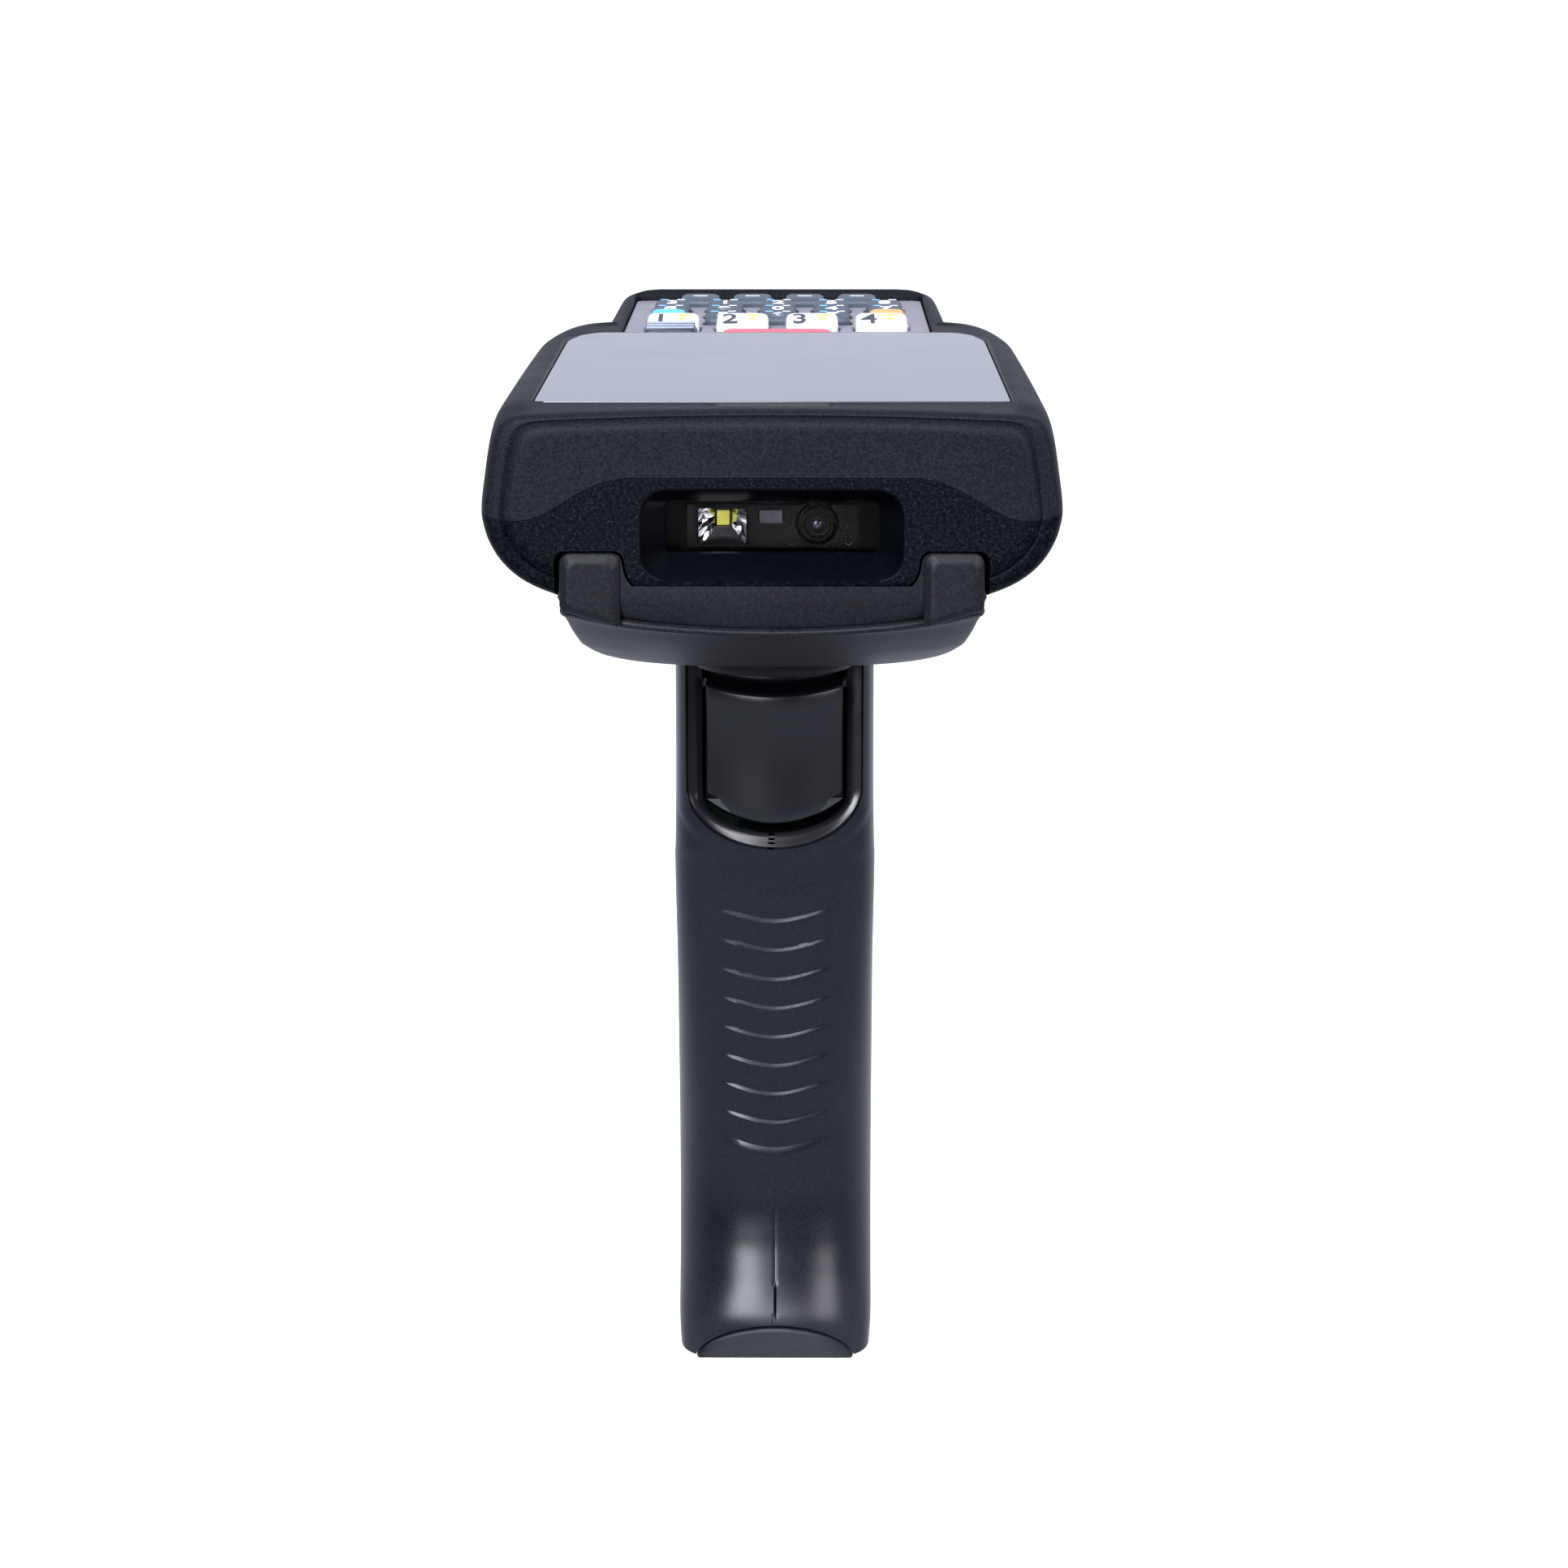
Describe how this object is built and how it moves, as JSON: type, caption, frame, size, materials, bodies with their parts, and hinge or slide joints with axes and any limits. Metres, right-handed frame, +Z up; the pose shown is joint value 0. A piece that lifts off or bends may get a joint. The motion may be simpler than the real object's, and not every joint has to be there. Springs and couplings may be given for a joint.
{
  "type": "handheld data terminal with pistol grip",
  "caption": "Rugged handheld computer with a scan window in its nose, a glass display and a keypad, clipped in a cradle on a pistol grip with a sprung trigger",
  "frame": {"origin": "On the surface that the grip's foot stands on, under the middle of the bounding box", "axes": "+Z up, +Y from the scan window towards the keypad's tail, +X to the right as one looks at the scan window"},
  "size_m": [0.083, 0.2108, 0.1611],
  "materials": {
    "housing": "fine spark-eroded texture",
    "silicone": "matte",
    "display_glass": "polished",
    "screen": "smooth",
    "board": "solder mask",
    "keypad_plate": "fine matte",
    "grille": "fine mesh",
    "connector": "smooth with plated contacts",
    "clear_lens": "clear, polished",
    "optics_black": "smooth matte",
    "phosphor": "smooth",
    "lens_glass": "coated lens",
    "side_key": "satin",
    "battery_case": "fine texture",
    "latch": "satin",
    "cradle": "smooth matte",
    "grip_plastic": "soft satin",
    "foot_rubber": "matte",
    "trigger_plastic": "satin",
    "steel": "turned",
    "key_grey": "translucent matte",
    "key_white": "matte",
    "key_blue": "matte",
    "key_orange": "matte",
    "key_red": "matte"
  },
  "bodies": {
    "terminal": {"top_housing": "housing", "bottom_housing": "housing", "housing_seal": "silicone", "display_window": "display_glass", "lcd_panel": "screen", "main_board": "board", "keypad_plate": "keypad_plate", "keypad_mat": "silicone", "keypad_board": "board", "earpiece_grille": "grille", "dock_connector": "connector", "scan_window": "clear_lens", "scan_engine": "optics_black", "illumination_led": "phosphor", "illumination_lens": "clear_lens", "aimer_lens": "clear_lens", "imager_lens": "lens_glass", "cradle_tray": "cradle", "cradle_base": "cradle", "contact_block": "connector", "grip_left_half": "grip_plastic", "grip_right_half": "grip_plastic", "grip_foot": "foot_rubber", "trigger_pin": "steel", "trigger_spring": "steel", "trigger_switch": "board", "grip_screw_upper": "steel", "grip_screw_middle": "steel", "grip_screw_lower": "steel"},
    "trigger": {"trigger": "trigger_plastic"},
    "battery": {"battery_pack": "battery_case"},
    "battery_latch": {"battery_latch": "latch"},
    "release_latch": {"release_latch": "latch"},
    "left_scan_key": {"left_scan_key": "side_key"},
    "right_scan_key": {"right_scan_key": "side_key"},
    "power_key": {"power_key": "key_grey"},
    "scan_key": {"scan_key": "key_red"},
    "number_key_1": {"number_key_1": "key_white"},
    "number_key_2": {"number_key_2": "key_white"},
    "number_key_3": {"number_key_3": "key_white"},
    "number_key_4": {"number_key_4": "key_white"},
    "blue_function_key": {"blue_function_key": "key_blue"},
    "upper_key_1": {"upper_key_1": "key_grey"},
    "upper_key_2": {"upper_key_2": "key_grey"},
    "upper_key_3": {"upper_key_3": "key_grey"},
    "orange_function_key": {"orange_function_key": "key_orange"},
    "middle_key_1": {"middle_key_1": "key_grey"},
    "middle_key_2": {"middle_key_2": "key_grey"},
    "middle_key_3": {"middle_key_3": "key_grey"},
    "middle_key_4": {"middle_key_4": "key_grey"},
    "middle_key_5": {"middle_key_5": "key_grey"},
    "lower_key_1": {"lower_key_1": "key_grey"},
    "lower_key_2": {"lower_key_2": "key_grey"},
    "lower_key_3": {"lower_key_3": "key_grey"},
    "lower_key_4": {"lower_key_4": "key_grey"},
    "lower_key_5": {"lower_key_5": "key_grey"},
    "end_key_1": {"end_key_1": "key_grey"},
    "end_key_2": {"end_key_2": "key_grey"},
    "end_key_3": {"end_key_3": "key_grey"},
    "end_key_4": {"end_key_4": "key_grey"}
  },
  "joints": [
    {"name": "trigger_hinge", "type": "hinge", "parent": "terminal", "child": "trigger", "pos_m": [0, -0.038, 0.1105], "axis": [1, 0, 0], "range_deg": [0, 12], "stiffness_Nm_per_rad": 0.12, "springref_deg": -5.73, "deforming": ["trigger_spring"]},
    {"name": "battery_slide", "type": "slide", "parent": "terminal", "child": "battery", "axis": [0, 0, -1], "range_m": [0, 0.03]},
    {"name": "battery_latch_slide", "type": "slide", "parent": "terminal", "child": "battery_latch", "axis": [0, -1, 0], "range_m": [0, 0.0018], "stiffness_N_per_m": 300, "springref_m": -0.0015},
    {"name": "release_latch_slide", "type": "slide", "parent": "terminal", "child": "release_latch", "axis": [0, 1, 0], "range_m": [0, 0.003], "stiffness_N_per_m": 400, "springref_m": -0.002},
    {"name": "left_scan_key_travel", "type": "slide", "parent": "terminal", "child": "left_scan_key", "axis": [1, 0, 0], "range_m": [0, 0.0008], "stiffness_N_per_m": 800, "springref_m": -0.0005},
    {"name": "right_scan_key_travel", "type": "slide", "parent": "terminal", "child": "right_scan_key", "axis": [-1, 0, 0], "range_m": [0, 0.0008], "stiffness_N_per_m": 800, "springref_m": -0.0005},
    {"name": "scan_key_travel", "type": "slide", "parent": "terminal", "child": "scan_key", "axis": [0, 0, -1], "range_m": [0, 0.0008], "stiffness_N_per_m": 800, "springref_m": -0.0005},
    {"name": "power_key_travel", "type": "slide", "parent": "terminal", "child": "power_key", "axis": [0, 0, -1], "range_m": [0, 0.0008], "stiffness_N_per_m": 800, "springref_m": -0.0005},
    {"name": "number_key_1_travel", "type": "slide", "parent": "terminal", "child": "number_key_1", "axis": [0, 0, -1], "range_m": [0, 0.0008], "stiffness_N_per_m": 800, "springref_m": -0.0005},
    {"name": "number_key_2_travel", "type": "slide", "parent": "terminal", "child": "number_key_2", "axis": [0, 0, -1], "range_m": [0, 0.0008], "stiffness_N_per_m": 800, "springref_m": -0.0005},
    {"name": "number_key_3_travel", "type": "slide", "parent": "terminal", "child": "number_key_3", "axis": [0, 0, -1], "range_m": [0, 0.0008], "stiffness_N_per_m": 800, "springref_m": -0.0005},
    {"name": "number_key_4_travel", "type": "slide", "parent": "terminal", "child": "number_key_4", "axis": [0, 0, -1], "range_m": [0, 0.0008], "stiffness_N_per_m": 800, "springref_m": -0.0005},
    {"name": "blue_function_key_travel", "type": "slide", "parent": "terminal", "child": "blue_function_key", "axis": [0, 0, -1], "range_m": [0, 0.0008], "stiffness_N_per_m": 800, "springref_m": -0.0005},
    {"name": "upper_key_1_travel", "type": "slide", "parent": "terminal", "child": "upper_key_1", "axis": [0, 0, -1], "range_m": [0, 0.0008], "stiffness_N_per_m": 800, "springref_m": -0.0005},
    {"name": "upper_key_2_travel", "type": "slide", "parent": "terminal", "child": "upper_key_2", "axis": [0, 0, -1], "range_m": [0, 0.0008], "stiffness_N_per_m": 800, "springref_m": -0.0005},
    {"name": "upper_key_3_travel", "type": "slide", "parent": "terminal", "child": "upper_key_3", "axis": [0, 0, -1], "range_m": [0, 0.0008], "stiffness_N_per_m": 800, "springref_m": -0.0005},
    {"name": "orange_function_key_travel", "type": "slide", "parent": "terminal", "child": "orange_function_key", "axis": [0, 0, -1], "range_m": [0, 0.0008], "stiffness_N_per_m": 800, "springref_m": -0.0005},
    {"name": "middle_key_1_travel", "type": "slide", "parent": "terminal", "child": "middle_key_1", "axis": [0, 0, -1], "range_m": [0, 0.0008], "stiffness_N_per_m": 800, "springref_m": -0.0005},
    {"name": "middle_key_2_travel", "type": "slide", "parent": "terminal", "child": "middle_key_2", "axis": [0, 0, -1], "range_m": [0, 0.0008], "stiffness_N_per_m": 800, "springref_m": -0.0005},
    {"name": "middle_key_3_travel", "type": "slide", "parent": "terminal", "child": "middle_key_3", "axis": [0, 0, -1], "range_m": [0, 0.0008], "stiffness_N_per_m": 800, "springref_m": -0.0005},
    {"name": "middle_key_4_travel", "type": "slide", "parent": "terminal", "child": "middle_key_4", "axis": [0, 0, -1], "range_m": [0, 0.0008], "stiffness_N_per_m": 800, "springref_m": -0.0005},
    {"name": "middle_key_5_travel", "type": "slide", "parent": "terminal", "child": "middle_key_5", "axis": [0, 0, -1], "range_m": [0, 0.0008], "stiffness_N_per_m": 800, "springref_m": -0.0005},
    {"name": "lower_key_1_travel", "type": "slide", "parent": "terminal", "child": "lower_key_1", "axis": [0, 0, -1], "range_m": [0, 0.0008], "stiffness_N_per_m": 800, "springref_m": -0.0005},
    {"name": "lower_key_2_travel", "type": "slide", "parent": "terminal", "child": "lower_key_2", "axis": [0, 0, -1], "range_m": [0, 0.0008], "stiffness_N_per_m": 800, "springref_m": -0.0005},
    {"name": "lower_key_3_travel", "type": "slide", "parent": "terminal", "child": "lower_key_3", "axis": [0, 0, -1], "range_m": [0, 0.0008], "stiffness_N_per_m": 800, "springref_m": -0.0005},
    {"name": "lower_key_4_travel", "type": "slide", "parent": "terminal", "child": "lower_key_4", "axis": [0, 0, -1], "range_m": [0, 0.0008], "stiffness_N_per_m": 800, "springref_m": -0.0005},
    {"name": "lower_key_5_travel", "type": "slide", "parent": "terminal", "child": "lower_key_5", "axis": [0, 0, -1], "range_m": [0, 0.0008], "stiffness_N_per_m": 800, "springref_m": -0.0005},
    {"name": "end_key_1_travel", "type": "slide", "parent": "terminal", "child": "end_key_1", "axis": [0, 0, -1], "range_m": [0, 0.0008], "stiffness_N_per_m": 800, "springref_m": -0.0005},
    {"name": "end_key_2_travel", "type": "slide", "parent": "terminal", "child": "end_key_2", "axis": [0, 0, -1], "range_m": [0, 0.0008], "stiffness_N_per_m": 800, "springref_m": -0.0005},
    {"name": "end_key_3_travel", "type": "slide", "parent": "terminal", "child": "end_key_3", "axis": [0, 0, -1], "range_m": [0, 0.0008], "stiffness_N_per_m": 800, "springref_m": -0.0005},
    {"name": "end_key_4_travel", "type": "slide", "parent": "terminal", "child": "end_key_4", "axis": [0, 0, -1], "range_m": [0, 0.0008], "stiffness_N_per_m": 800, "springref_m": -0.0005}
  ]
}
